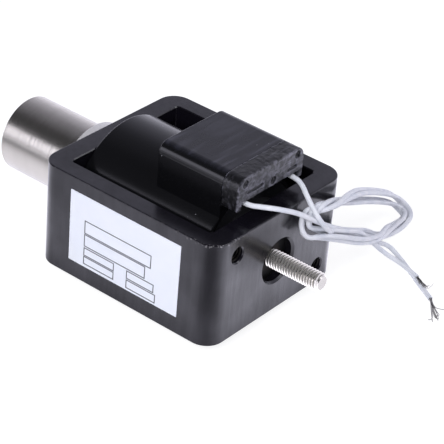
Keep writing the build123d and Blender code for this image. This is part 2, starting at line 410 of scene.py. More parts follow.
@dataclass(frozen=True)
class RoughMoulding(Finish):
    """Uneven grey-black closing piece of the terminal block, scuffed and pitted.

    Marks are, in millimetres, the middle across and up, half the straight length and the radius of
    each ejector mark and slot in its front. Each is painted dark inside as shade, with a painted
    highlight on a ring round its rim.
    """

    body: Colour = tone(18, 18, 20)
    scuffed: Colour = tone(116, 115, 126)
    marks: Tuple[Tuple[float, float, float, float], ...] = (
        (-12.15, 29.1, 0.0, 1.25),
        (12.15, 29.1, 0.0, 1.25),
        (1.1, 24.9, 0.0, 1.25),
        (-7.25, 25.7, 3.2, 0.55),
        (10.0, 25.4, 1.75, 0.55),
    )
    side: float = 15.25 * MM
    front: float = -5.5 * MM
    seam: float = -11.6 * MM

    def shade(self, book: NodeBook) -> Sockets:
        """Black base, scuffed on its front and along the edges where it was trimmed, painted dark
        inside the marks as shade, with painted highlights round them.

        Args:
            book: The nodes of the material.

        Returns:
            Values and links of the surface shader's sockets.
        """
        x, y, z = book.axes()
        mottle = book.noise(620.0, 5.0, warp=0.6)
        scratch = book.noise(1000.0, 3.0, (1.0, 0.1, 0.6), 0.8).step(0.55, 0.68)
        inside: Number = 0.0
        rim_highlights: Number = 0.0
        # each mark is painted dark inside as shade, with a painted highlight on a ring round it
        for across, up, half, radius in self.marks:
            beyond = (abs(y - across * MM) - half * MM).over(0.0)
            away = (beyond**2.0 + (z - up * MM) ** 2.0) ** 0.5 - radius * MM
            inside = (1.0 - away.step(-0.25 * MM, 0.1 * MM)).over(inside)
            rim_highlights = (1.0 - abs(away - 0.25 * MM).step(0.05 * MM, 0.3 * MM)).over(rim_highlights)
        face = x.step(self.front - 0.9 * MM, self.front - 0.2 * MM)
        flank = abs(y).step(self.side - 0.6 * MM, self.side - 0.15 * MM)
        lip = (1.0 - abs(x - self.seam).step(0.1 * MM, 0.5 * MM)).over(face * flank)
        # the front's scuffs and scratches, with the painted rim highlights of the marks
        rubbed_and_highlit = mottle.step(0.36, 0.7) * 0.6 + scratch * 0.3 + rim_highlights * mottle * 0.5
        # no scuffing inside the marks, which stay dark as painted shade
        pale = face * rubbed_and_highlit * (1.0 - inside * 0.9) + scratch * 0.16
        trimmed = lip * mottle.step(0.4, 0.6) * 0.8
        return {
            "Base Color": book.mix(pale.over(trimmed).under(1.0), self.body, self.scuffed),
            "Roughness": 0.2 + mottle * 0.2 + face * 0.08,
            "Normal": book.bump(mottle * 0.8 + scratch * 0.2, 0.06 * MM),
            "IOR": 1.55,
        }


@dataclass(frozen=True)
class TurnedMetal(Finish):
    """Bare metal turned about the X axis, with the fine grooves that the tool leaves."""

    metal: Colour = tone(214, 210, 201)
    stained: Colour = tone(197, 193, 183)
    polish: float = 0.18
    metallic: float = 1.0
    groove: float = 0.045 * MM

    def shade(self, book: NodeBook) -> Sockets:
        """Grooves round the axis, and a faint change of tone along it.

        Args:
            book: The nodes of the material.

        Returns:
            Values and links of the surface shader's sockets.
        """
        fine = book.noise(5200.0, 2.0, (1.0, 0.004, 0.004))
        wide = book.noise(420.0, 2.0, (1.0, 0.05, 0.05))
        cloud = book.noise(60.0, 3.0)
        return {
            "Base Color": book.mix(cloud * 0.6 + wide * 0.4, self.metal, self.stained),
            "Metallic": self.metallic,
            "Roughness": self.polish + wide * 0.08 + cloud * 0.06,
            "Normal": book.bump(fine, self.groove),
        }


@dataclass(frozen=True)
class PlainMetal(Finish):
    """Bare or plated metal with a fine even grain."""

    metal: Colour = tone(200, 200, 202)
    dull: Colour = tone(160, 160, 162)
    polish: float = 0.22

    def shade(self, book: NodeBook) -> Sockets:
        """Fine grain and a soft change of gloss.

        Args:
            book: The nodes of the material.

        Returns:
            Values and links of the surface shader's sockets.
        """
        cloud = book.noise(380.0, 3.0)
        grain = book.noise(4200.0, 2.0)
        return {
            "Base Color": book.mix(cloud, self.metal, self.dull),
            "Metallic": 1.0,
            "Roughness": self.polish + cloud * 0.1 + grain * 0.06,
            "Normal": book.bump(grain, 0.002 * MM),
        }


@dataclass(frozen=True)
class ThreadedSteel(Finish):
    """Bright steel screw thread about the X axis, with painted shade in its duller roots."""

    metal: Colour = tone(246, 242, 232)
    # tone of the painted shade in the thread's roots
    root_shade_tone: Colour = tone(140, 137, 135)
    root: float = 2.3 * MM
    crest: float = 2.85 * MM
    begins: Tuple[float, float] = (-3.2 * MM, -2.6 * MM)
    ends: Tuple[float, float] = (15.6 * MM, 15.9 * MM)
    polish: float = 0.16

    def shade(self, book: NodeBook) -> Sockets:
        """Painted shade and duller metal low in the thread, bright on crests and plain parts.

        Args:
            book: The nodes of the material.

        Returns:
            Values and links of the surface shader's sockets.
        """
        x, y, z = book.axes()
        low = 1.0 - ((y**2.0 + z**2.0) ** 0.5).step(self.root, self.crest)
        thread = x.step(*self.begins) * (1.0 - x.step(*self.ends))
        cloud = book.noise(380.0, 3.0)
        # painted shade in the thread's roots, where the metal is also less metallic and rougher
        root_shade = low * thread * (0.7 + cloud * 0.4)
        return {
            "Base Color": book.mix(root_shade, self.metal, self.root_shade_tone),
            "Metallic": 1.0 - root_shade * 0.7,
            "Roughness": self.polish + cloud * 0.1 + root_shade * 0.2,
            "Normal": book.bump(book.noise(4200.0, 2.0), 0.002 * MM),
        }


@dataclass(frozen=True)
class WoundWire(Finish):
    """Lacquered copper wire wound in close layers about the X axis."""

    copper: Colour = tone(176, 92, 48)
    shadow: Colour = tone(96, 42, 20)
    wires_per_metre: float = 2200.0

    def shade(self, book: NodeBook) -> Sockets:
        """Round wires side by side along the axis.

        Args:
            book: The nodes of the material.

        Returns:
            Values and links of the surface shader's sockets.
        """
        x, _, _ = book.axes()
        turn = x * (math.pi * self.wires_per_metre)
        wave = abs(turn.math("SINE", turn))
        return {
            "Base Color": book.mix(wave.step(0.1, 0.7), self.shadow, self.copper),
            "Metallic": 1.0,
            "Roughness": 0.28 + book.noise(800.0) * 0.12,
            "Normal": book.bump(wave, 0.12 * MM),
        }


@dataclass(frozen=True)
class Plastic(Finish):
    """Moulded or wrapped plastic with a soft grain."""

    body: Colour = tone(225, 220, 205)
    shade_tone: Colour = tone(205, 198, 180)
    gloss: float = 0.4

    def shade(self, book: NodeBook) -> Sockets:
        """Soft clouding and a fine bump.

        Args:
            book: The nodes of the material.

        Returns:
            Values and links of the surface shader's sockets.
        """
        cloud = book.noise(220.0, 3.0)
        grain = book.noise(2600.0, 2.0)
        return {
            "Base Color": book.mix(cloud, self.body, self.shade_tone),
            "Roughness": self.gloss + grain * 0.12,
            "Normal": book.bump(grain, 0.005 * MM),
        }


@dataclass(frozen=True)
class WireJacket(Finish):
    """Bluish white insulation of the flying leads, slightly waxy."""

    white: Colour = tone(234, 235, 239)
    cool: Colour = tone(221, 224, 231)

    def shade(self, book: NodeBook) -> Sockets:
        """Slight change of tone along the wire, and a waxy gloss.

        Args:
            book: The nodes of the material.

        Returns:
            Values and links of the surface shader's sockets.
        """
        cloud = book.noise(260.0, 3.0)
        grain = book.noise(3200.0, 2.0)
        return {
            "Base Color": book.mix(cloud.step(0.35, 0.7), self.white, self.cool),
            "Roughness": 0.34 + grain * 0.12,
            "Normal": book.bump(grain, 0.004 * MM),
        }


@dataclass(frozen=True)
class LabelPrint(Finish):
    """White sticker with blank ruled boxes.

    Boxes are left, right, top and bottom in millimetres from the sticker's upper left corner.
    """

    paper: Colour = tone(241, 243, 247)
    aged: Colour = tone(234, 238, 247)
    ink: Colour = tone(30, 30, 38)
    left: float = -55.5 * MM
    top: float = 13.1 * MM
    line: float = 0.19 * MM
    boxes: Tuple[Tuple[float, float, float, float], ...] = (
        (6.1, 32.1, 8.5, 12.8),
        (6.1, 30.0, 13.3, 17.3),
        (6.1, 18.0, 18.0, 20.6),
        (6.1, 18.0, 21.1, 23.6),
        (23.2, 33.6, 18.0, 20.6),
        (23.2, 34.4, 21.2, 23.9),
    )

    def shade(self, book: NodeBook) -> Sockets:
        """Thin printed outlines on the sticker's faintly fibrous white face.

        Args:
            book: The nodes of the material.

        Returns:
            Values and links of the surface shader's sockets.
        """
        x, _, z = book.axes()
        along = x - self.left
        down = self.top - z
        ink: Number = 0.0
        for left, right, top, bottom in self.boxes:
            aside = abs(along - (left + right) * MM / 2) - (right - left) * MM / 2
            above = abs(down - (top + bottom) * MM / 2) - (bottom - top) * MM / 2
            edge = 1.0 - abs(aside.over(above)).step(self.line * 0.5, self.line * 1.3)
            ink = edge.over(ink)
        fibre = book.noise(1500.0, 3.0)
        paper = book.mix(book.noise(140.0, 2.0), self.paper, self.aged)
        return {
            "Base Color": book.mix(ink, paper, self.ink),
            "Roughness": 0.36 + fibre * 0.12,
            "Normal": book.bump(fibre, 0.003 * MM),
        }


class Bench:
    """Hand tools for meshes: each method selects what it works on."""

    @staticmethod
    def clear() -> None:
        """Leaves edit mode and deselects everything."""
        if bpy.context.object and bpy.context.object.mode != "OBJECT":
            bpy.ops.object.mode_set(mode="OBJECT")
        bpy.ops.object.select_all(action="DESELECT")

    @classmethod
    def pick(cls, *pieces: bpy.types.Object) -> None:
        """Selects pieces, and makes the first one active.

        Args:
            pieces: The pieces.
        """
        cls.clear()
        for piece in pieces:
            piece.select_set(True)
        bpy.context.view_layer.objects.active = pieces[0]

    @classmethod
    def drawn(cls, name: str, outline: Outline) -> bpy.types.Object:
        """Draws a chain of edges beside the X axis by extruding one vertex from point to point.

        Args:
            name: The piece's name.
            outline: Places along X and radii in millimetres.

        Returns:
            The piece, with edges only.
        """
        points = [Vector((along, 0.0, radius)) * MM for along, radius in outline]
        cls.clear()
        bpy.ops.mesh.primitive_plane_add(size=MM)
        piece = bpy.context.object
        piece.name = piece.data.name = name
        bpy.ops.object.mode_set(mode="EDIT")
        bpy.ops.mesh.merge(type="CENTER")
        bpy.ops.transform.translate(value=points[0])
        for start, end in zip(points, points[1:]):
            bpy.ops.mesh.extrude_vertices_move(TRANSFORM_OT_translate={"value": end - start})
        bpy.ops.object.mode_set(mode="OBJECT")
        return piece

    @classmethod
    def tidy(cls, piece: bpy.types.Object, fill: bool = False) -> None:
        """Merges doubles, closes holes if asked, and turns the faces outwards.

        Args:
            piece: The piece.
            fill: Whether open ends are closed.
        """
        cls.pick(piece)
        bpy.ops.object.mode_set(mode="EDIT")
        bpy.ops.mesh.select_all(action="SELECT")
        bpy.ops.mesh.remove_doubles(threshold=WELD)
        if fill:
            bpy.ops.mesh.fill_holes(sides=0)
        bpy.ops.mesh.select_all(action="SELECT")
        bpy.ops.mesh.normals_make_consistent(inside=False)
        bpy.ops.object.mode_set(mode="OBJECT")

    @classmethod
    def turned(cls, name: str, outline: Outline, steps: int) -> bpy.types.Object:
        """Spins an outline about the X axis.

        Args:
            name: The piece's name.
            outline: Places along X and radii in millimetres, from axis to axis.
            steps: Sides of the round.

        Returns:
            The closed piece.
        """
        piece = cls.drawn(name, outline)
        cls.pick(piece)
        bpy.ops.object.mode_set(mode="EDIT")
        bpy.ops.mesh.select_all(action="SELECT")
        bpy.ops.mesh.spin(steps=steps, angle=2 * math.pi, center=(0, 0, 0), axis=(1, 0, 0))
        cls.tidy(piece)
        return piece

    @classmethod
    def modify(cls, piece: bpy.types.Object, kind: str, **settings: object) -> None:
        """Adds a modifier and applies it.

        Args:
            piece: The piece.
            kind: The modifier's type.
            settings: The modifier's properties.
        """
        cls.pick(piece)
        bpy.ops.object.modifier_add(type=kind)
        added = piece.modifiers[-1]
        for name, value in settings.items():
            setattr(added, name, value)
        bpy.ops.object.modifier_apply(modifier=added.name)

    @classmethod
    def joined(cls, piece: bpy.types.Object, other: bpy.types.Object, operation: str) -> None:
        """Cuts or unites a piece with another one, which is used up."""
        cls.modify(piece, "BOOLEAN", operation=operation, object=other, solver="EXACT")
        bpy.data.objects.remove(other)

    @classmethod
    def wound(
        cls, name: str, outline: Outline, pitch: float, turns: int, steps: int
    ) -> bpy.types.Object:
        """Winds an outline about the X axis as a right-hand helix.

        Args:
            name: The piece's name.
            outline: Places along X and radii in millimetres.
            pitch: Advance of one turn, in millimetres.
            turns: Number of turns.
            steps: Steps to a turn.

        Returns:
            The closed piece.
        """
        piece = cls.drawn(name, outline)
        cls.modify(
            piece,
            "SCREW",
            axis="X",
            angle=2 * math.pi,
            screw_offset=pitch * MM,
            iterations=turns,
            steps=steps,
            render_steps=steps,
            use_merge_vertices=True,
            merge_threshold=WELD,
        )
        cls.tidy(piece, fill=True)
        return piece

    @classmethod
    def shift(cls, piece: bpy.types.Object, offset: Vector) -> None:
        """Moves a piece's mesh, so that its object stays at the origin.

        Args:
            piece: The piece.
            offset: The move, in metres.
        """
        cls.pick(piece)
        bpy.ops.transform.translate(value=offset)
        bpy.ops.object.transform_apply(location=True, rotation=True, scale=True)

    @classmethod
    def smooth(cls, piece: bpy.types.Object, degrees: float) -> None:
        """Shades a piece smooth except over sharper edges."""
        cls.pick(piece)
        bpy.ops.object.shade_smooth_by_angle(angle=math.radians(degrees))

    @staticmethod
    def dress(piece: bpy.types.Object, material: bpy.types.Material) -> None:
        """Gives a piece one material all over."""
        piece.data.materials.clear()
        piece.data.materials.append(material)


def fit(piece: bpy.types.Object, body: Body, stands_for: Sequence[str] = ()) -> None:
    """Sets a finished piece on its body.

    Args:
        piece: The piece.
        body: The body that it rides on.
        stands_for: The nodes that it replaces.
    """
    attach(piece, body.value)
    if stands_for:
        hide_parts(*stands_for)
    LOG.info("piece %s rides on %s", piece.name, body.value)


def dress_node(name: str, finish: Finish) -> None:
    """Gives a node of the frame its finish."""
    Bench.dress(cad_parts[name], finish.material())
    LOG.info("node %s has finish %s", name, finish.name)


@dataclass(frozen=True)
class InnerThread:
    """Screw thread about the X axis in the wall of a hole, in millimetres.

    Its ridge is let into the wall by its foot, and is as wide there as twice half_foot.
    """

    start: float
    foot_radius: float
    crest_radius: float
    half_foot: float
    half_crest: float
    pitch: float
    turns: int
    steps: int
    sharp: float = 40.0

    def build(self, name: str) -> bpy.types.Object:
        """Winds the ridge.

        Args:
            name: The piece's name.

        Returns:
            The helical ridge.
        """
        outline = (
            (self.start - self.half_foot, self.foot_radius),
            (self.start - self.half_crest, self.crest_radius),
            (self.start + self.half_crest, self.crest_radius),
            (self.start + self.half_foot, self.foot_radius),
            (self.start - self.half_foot, self.foot_radius),
        )
        ridge = Bench.wound(name, outline, self.pitch, self.turns, self.steps)
        Bench.smooth(ridge, self.sharp)
        return ridge


@dataclass
class SteelFrame:
    """Painted frame with a sticker, and two tapped fixing holes on a diagonal, in millimetres."""

    hole_y: float = 20.3
    hole_z: float = 11.3
    thread: InnerThread = InnerThread(
        start=-7.0,
        foot_radius=2.6,
        crest_radius=2.26,
        half_foot=0.42,
        half_crest=0.06,
        pitch=1.0,
        turns=6,
        steps=36,
    )

    def build(self) -> None:
        """Dresses frame and sticker, and puts a thread into each fixing hole."""
        dress_node("frame", SatinPaint("satin_black_coat"))
        dress_node("label", LabelPrint("ruled_sticker"))
        # the fixing threads' metal gets a dark tone as painted shade inside the tapped holes
        steel = PlainMetal("shaded_cut_thread", tone(54, 52, 48), tone(30, 29, 28), 0.4).material()
        for name, side in (("near_fixing_thread", -1.0), ("far_fixing_thread", 1.0)):
            ridge = self.thread.build(name)
            Bench.shift(ridge, Vector((0.0, side * self.hole_y, -side * self.hole_z)) * MM)
            Bench.dress(ridge, steel)
            fit(ridge, Body.STATOR)


@dataclass
class CoilAssembly:
    """Moulded coil with what is inside it, and the finish of each piece."""

    finishes: Tuple[Tuple[str, Finish], ...] = (
        ("coil_moulding", Moulding("gloss_black_moulding")),
        ("bobbin", Plastic("bobbin_nylon", tone(22, 22, 24), tone(32, 32, 35), 0.3)),
        ("winding", WoundWire("lacquered_copper")),
        ("winding_tape", Plastic("yellow_tape", tone(226, 186, 52), tone(205, 164, 40), 0.3)),
        ("guide_tube", TurnedMetal("tube_brass", tone(212, 178, 96), tone(192, 158, 84), 0.2)),
        ("fixed_core", TurnedMetal("core_steel", tone(40, 39, 39), tone(30, 29, 29), 0.42)),
        # the rod bush is oiled bronze, given a darker tone still as painted shade inside the rod
        # hole
        ("rod_bush", TurnedMetal("oiled_shaded_bush", tone(46, 41, 37), tone(34, 31, 29), 0.45)),
        ("gap_washer", TurnedMetal("washer_brass", tone(214, 182, 104), tone(190, 160, 88), 0.25)),
        (
            "rear_bush",
            TurnedMetal(
                "collar_bright", tone(236, 234, 232), tone(227, 225, 223), polish=0.3, metallic=0.45
            ),
        ),
    )

    def build(self) -> None:
        """Dresses the moulding, the winding and the parts of the magnetic circuit."""
        for name, finish in self.finishes:
            dress_node(name, finish)


@dataclass
class TerminalBlock:
    """Closing piece and tags of the terminal block."""

    voxel: float = 0.24 * MM
    lump_size: float = 1.5 * MM
    lump_layers: int = 2
    lump_height: float = 0.22 * MM
    lump_level: float = 0.55
    softness: float = 0.4
    soften_times: int = 2
    sharp: float = 60.0

    def build(self) -> None:
        """Makes the uneven closing piece, and dresses the tags."""
        cover = self.rough_cover()
        Bench.dress(cover, RoughMoulding("rough_black_moulding").material())
        fit(cover, Body.STATOR, ["terminal_cover"])
        tin = PlainMetal("tag_tin", tone(206, 206, 208), tone(170, 170, 172), 0.28)
        dress_node("terminal_tags", tin)

    def rough_cover(self) -> bpy.types.Object:
        """Remeshes a copy of the plain closing piece, and lets its surface swell unevenly.

        Returns:
            The closing piece.
        """
        Bench.pick(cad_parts["terminal_cover"])
        bpy.ops.object.duplicate(linked=False)
        cover = bpy.context.object
        cover.name = cover.data.name = "uneven_terminal_cover"
        for key in list(cover.keys()):
            del cover[key]
        cover.parent = None
        Bench.tidy(cover)
        Bench.modify(cover, "REMESH", mode="VOXEL", voxel_size=self.voxel, adaptivity=0.0)
        lumps = bpy.data.textures.new("moulding_lumps", "CLOUDS")
        lumps.noise_scale = self.lump_size
        lumps.noise_depth = self.lump_layers
        Bench.modify(
            cover,
            "DISPLACE",
            texture=lumps,
            texture_coords="LOCAL",
            strength=self.lump_height,
            mid_level=self.lump_level,
        )
        Bench.modify(cover, "SMOOTH", factor=self.softness, iterations=self.soften_times)
        Bench.smooth(cover, self.sharp)
        return cover


@dataclass
class Armature:
    """Plunger with a tapped rear end, and the threaded push rod, in millimetres.

    The rod's thread form gives each corner's place as a share of the pitch, and whether it is on
    the crest. The thread is wound longer than the rod, and a blank then trims it.
    """

    thread_start: float = -2.8
    thread_form: Tuple[Tuple[float, bool], ...] = (
        (0.0, False),
        (0.22, False),
        (0.55, True),
        (0.67, True),
        (1.0, False),
    )
    start_turns: float = 1.6
    spare_turns: int = 2
    start_chamfer: float = 0.4
    tip: float = 16.3
    tip_chamfer: float = 0.8
    major_radius: float = 2.95
    minor_radius: float = 2.4
    pitch: float = 1.0
    trim: float = 0.01
    shank_radius: float = 2.65
    shank_ends: Tuple[float, float] = (0.35, 0.6)
    shank_inset: float = 0.2
    rod_back: float = -57.9
    back_chamfer: float = 0.3
    thread_steps: int = 40
    sides: int = 72
    sharp: float = 28.0
    rear_tap: InnerThread = InnerThread(
        start=-101.8,
        foot_radius=3.52,
        crest_radius=3.04,
        half_foot=0.5,
        half_crest=0.08,
        pitch=1.25,
        turns=10,
        steps=40,
    )

    def build(self) -> None:
        """Dresses the plunger, and makes the rod and the plunger's inner thread."""
        dress_node("plunger", TurnedMetal("turned_steel"))
        bright = ThreadedSteel("bright_rod_steel").material()
        rod = self.threaded_rod()
        Bench.dress(rod, bright)
        fit(rod, Body.ARMATURE, ["push_rod"])
        tap = self.rear_tap.build("plunger_rear_thread")
        cut = PlainMetal("tapped_steel", tone(150, 148, 146), tone(110, 108, 106), 0.3)
        Bench.dress(tap, cut.material())
        fit(tap, Body.ARMATURE)

    def threaded_rod(self) -> bpy.types.Object:
        """Winds the rod's thread, trims it to its blank, and unites it with the shank.

        Returns:
            The rod.
        """
        start = self.thread_start
        low = start - self.start_turns * self.pitch
        radii = {False: self.minor_radius, True: self.major_radius}
        outline = [(low + share * self.pitch, radii[crest]) for share, crest in self.thread_form]
        turns = math.ceil((self.tip - low) / self.pitch) + self.spare_turns
        rod = Bench.wound("threaded_push_rod", outline, self.pitch, turns, self.thread_steps)
        rim = self.major_radius + self.trim
        blank = (
            (start, 0.0),
            (start, self.shank_radius),
            (start + self.start_chamfer, rim),
            (self.tip - self.tip_chamfer, rim),
            (self.tip, self.major_radius - self.tip_chamfer),
            (self.tip, 0.0),
        )
        Bench.joined(rod, Bench.turned("rod_blank", blank, self.sides), "INTERSECT")
        widest, end = (start + past for past in self.shank_ends)
        shank = (
            (self.rod_back, 0.0),
            (self.rod_back, self.shank_radius - self.back_chamfer),
            (self.rod_back + self.back_chamfer, self.shank_radius),
            (widest, self.shank_radius),
            (end, self.minor_radius - self.shank_inset),
            (end, 0.0),
        )
        Bench.joined(rod, Bench.turned("rod_shank", shank, self.sides), "UNION")
        Bench.tidy(rod)
        Bench.smooth(rod, self.sharp)
        return rod


@dataclass(frozen=True)
class Lead:
    """One insulated wire: its two ends in millimetres, and how it lies in the hank.

    Berths are its places in the hank's ring on each pass, in degrees, or next to them if it lies
    beside its partner. After its last whole turn it follows a few more points of the hank. Its bare
    strands spread by a share of their length, and one of them strays. Its length is in metres, and
    is not used.
    """

    name: str
    lead_in: Tuple[Point, ...]
    tail: Tuple[Point, ...]
    berths: Tuple[float, ...]
    beside: bool
    follows: int
    bare_tip: Point
    stray: Tuple[Point, ...]
    looseness: float
    seed: int
    length: float
    insulated: Tuple[str, ...]
    stripped: str


@dataclass
class FlyingLeads:
    """Two insulated wires that leave the terminal block and are wound into one loose hank.

    Routes are in millimetres. A wire runs along its lead-in, twice round the hank, and off by its
    tail. In the hank the passes lie in a ring that twists as it goes round: for each route point
    hank_lanes gives the ring's turn in degrees and its radius. Slack is how far each pass stands
    out from the hank, or lies within it where negative, and the second pass leaves out the points
    in cut_short. A curve's fineness is its bevel's resolution and the steps from one control point
    to the next.
    """

    diameter: float = 1.56
    passes: int = 2
    wire_gap: float = 1.6
    slack: Tuple[float, ...] = (-0.2, -0.4, 0.0)
    cut_short: Tuple[int, ...] = (1, 3, 11)
    hank_lanes: Tuple[Tuple[float, float], ...] = (
        (650.0, 1.35),
        (630.0, 1.18),
        (605.0, 1.15),
        (575.0, 1.18),
        (525.0, 1.3),
        (450.0, 1.55),
        (385.0, 2.35),
        (366.0, 1.9),
        (363.0, 1.75),
        (361.0, 1.6),
        (359.0, 1.35),
        (358.0, 1.3),
        (357.0, 1.4),
        (355.0, 1.3),
        (350.0, 1.2),
        (335.0, 1.35),
        (278.0, 2.2),
        (215.0, 2.6),
        (190.0, 2.25),
        (165.0, 1.7),
    )
    hank: Tuple[Point, ...] = (
        (4.8, 13.2, 6.0),
        (3.8, 7.4, 7.4),
        (3.1, 6.6, 10.6),
        (2.9, 7.6, 13.5),
        (3.5, 9.8, 15.4),
        (4.6, 16.6, 14.4),
        (1.6, 30.7, 9.9),
        (-2.7, 47.3, 1.3),
        (-5.9, 61.4, -6.5),
        (-8.2, 70.4, -12.0),
        (-9.2, 76.2, -16.0),
        (-8.3, 78.6, -18.4),
        (-5.4, 77.9, -19.4),
        (-2.8, 75.3, -19.4),
        (-1.9, 71.1, -19.4),
        (-1.4, 65.6, -18.9),
        (0.2, 55.8, -15.6),
        (2.3, 46.6, -11.2),
        (4.6, 34.1, -5.0),
        (5.3, 22.2, 1.7),
    )
    leads: Tuple[Lead, ...] = (
        Lead(
            name="near_wire",
            lead_in=(
                (-9.0, -11.0, 22.0),
                (-4.6, -11.0, 22.0),
                (-1.4, -9.4, 22.3),
                (2.6, -5.4, 21.5),
                (5.1, 1.2, 18.3),
                (6.1, 7.4, 13.5),
            ),
            tail=(
                (3.7, 47.4, -14.8),
                (6.2, 50.6, -18.4),
                (9.6, 51.8, -19.8),
                (14.0, 50.8, -19.8),
                (19.2, 48.9, -19.8),
            ),
            berths=(0.0, 180.0, -60.0),
            beside=False,
            follows=2,
            bare_tip=(23.8, 47.2, -21.0),
            stray=((23.0, 47.5, -21.0), (24.4, 48.4, -21.7), (24.0, 51.2, -21.0)),
            looseness=0.2,
            seed=11,
            length=0.43,
            insulated=("near_lead", "near_tail", "lead_hank"),
            stripped="near_strands",
        ),
        Lead(
            name="far_wire",
            lead_in=(
                (-9.0, 11.0, 22.0),
                (-4.6, 11.0, 22.0),
                (-1.6, 10.2, 21.4),
                (2.2, 8.2, 19.5),
                (6.0, 8.0, 15.5),
                (7.4, 10.3, 11.4),
                (7.2, 14.0, 7.6),
            ),
            tail=(
                (2.6, 55.6, -18.2),
                (7.2, 56.0, -21.0),
                (14.7, 52.0, -21.4),
                (21.4, 47.8, -21.4),
                (27.7, 44.2, -21.4),
            ),
            berths=(0.0, 180.0, 60.0),
            beside=True,
            follows=3,
            bare_tip=(35.4, 36.2, -21.6),
            stray=((30.4, 42.2, -21.6), (31.9, 41.4, -21.7), (34.3, 42.1, -21.2)),
            looseness=0.12,
            seed=23,
            length=0.439,
            insulated=("far_lead", "far_tail"),
            stripped="far_strands",
        ),
    )
    wire_fineness: Tuple[int, int] = (5, 10)
    strand_fineness: Tuple[int, int] = (1, 6)
    strand_count: int = 11
    strand_radius: float = 0.12
    strand_rings: Tuple[float, float] = (0.42, 0.2)
    strand_twist: float = 1.2
    strand_tuck: float = 0.8
    strand_places: Tuple[float, float] = (0.3, 0.62)
    strand_spread: float = 1.2
    strand_lift: Tuple[float, float] = (-0.03, 0.05)
    strand_shares: Tuple[float, float] = (0.8, 1.04)
    fray_begun: float = 0.3
    hook_every: int = 3
    hook_back: float = 0.02
    lowest_strand: float = -22.0
    sharp: float = 60.0

    def build(self) -> None:
        jacket = WireJacket("bluish_white_jacket").material()
        tin = PlainMetal("tinned_strand", tone(206, 204, 200), tone(138, 136, 132), 0.26)
        tinned = tin.material()
        wires = [self.wire(lead, jacket) for lead in self.leads]
        ends = [self.strands(lead, tinned) for lead in self.leads]
        for lead, wire in zip(self.leads, wires):
            fit(wire, Body.STATOR, lead.insulated)
        for lead, end in zip(self.leads, ends):
            fit(end, Body.STATOR, [lead.stripped])

    def lane(self, index: int, lead: Lead, made: int) -> Vector:
        """Finds where one pass of a wire lies beside the middle of the hank.

        Args:
            index: The route point of the hank.
            lead: The wire.
            made: Whole turns that it has made before this pass.

        Returns:
            The point, in millimetres.
        """
        route = [Vector(point) for point in self.hank]
        here = route[index]
        middle = sum(route, Vector()) / len(route)
        along = (route[(index + 1) % len(route)] - route[index - 1]).normalized()
        outward = here - middle
        outward = (outward - along * outward.dot(along)).normalized()
        side = along.cross(outward)
        turn, reach = self.hank_lanes[index]
        angle = math.radians(turn + lead.berths[made])
        if lead.beside:
            angle += 2.0 * math.asin(self.wire_gap / 2.0 / reach)
        free = math.sin(math.pi * index / len(route)) ** 2
        berth = (outward * math.cos(angle) + side * math.sin(angle)) * reach
        return here + berth + outward * self.slack[made] * free

    def route(self, lead: Lead) -> List[Vector]:
        """Strings a wire's control points together.

        Args:
            lead: The wire.

        Returns:
            The control points, in metres.
        """
        count = len(self.hank)
        points = [Vector(point) for point in lead.lead_in]
        for step in range(self.passes * count + lead.follows):
            index = count - 1 - step % count
            made = step // count
            if made == 1 and index in self.cut_short:
                continue
            points.append(self.lane(index, lead, made))
        points.extend(Vector(point) for point in lead.tail)
        return [point * MM for point in points]

    def wire(self, lead: Lead, jacket: bpy.types.Material) -> bpy.types.Object:
        """Makes a wire as one smooth curve.

        Args:
            lead: The wire.
            jacket: The insulation's material.

        Returns:
            The curve.
        """
        thickness = self.diameter / 2 * MM
        made = self.curve(lead.name, self.route(lead), thickness, self.wire_fineness)
        made.data.materials.append(jacket)
        return made

    @staticmethod
    def curve(
        name: str, points: Sequence[Vector], radius: float, fineness: Tuple[int, int]
    ) -> bpy.types.Object:
        """Makes a round NURBS curve along control points.

        Args:
            name: The curve's name.
            points: The control points, in metres.
            radius: Half the thickness, in metres.
            fineness: The bevel's resolution, and the steps from one control point to the next.

        Returns:
            The curve object.
        """
        data = bpy.data.curves.new(name, "CURVE")
        data.dimensions = "3D"
        data.bevel_resolution, data.resolution_u = fineness
        data.bevel_depth = radius
        data.use_fill_caps = True
        spline = data.splines.new("NURBS")
        spline.points.add(len(points) - 1)
        for control, point in zip(spline.points, points):
            control.co = (*point, 1.0)
        spline.order_u = 3
        spline.use_endpoint_u = True
        made = bpy.data.objects.new(name, data)
        bpy.context.scene.collection.objects.link(made)
        return made

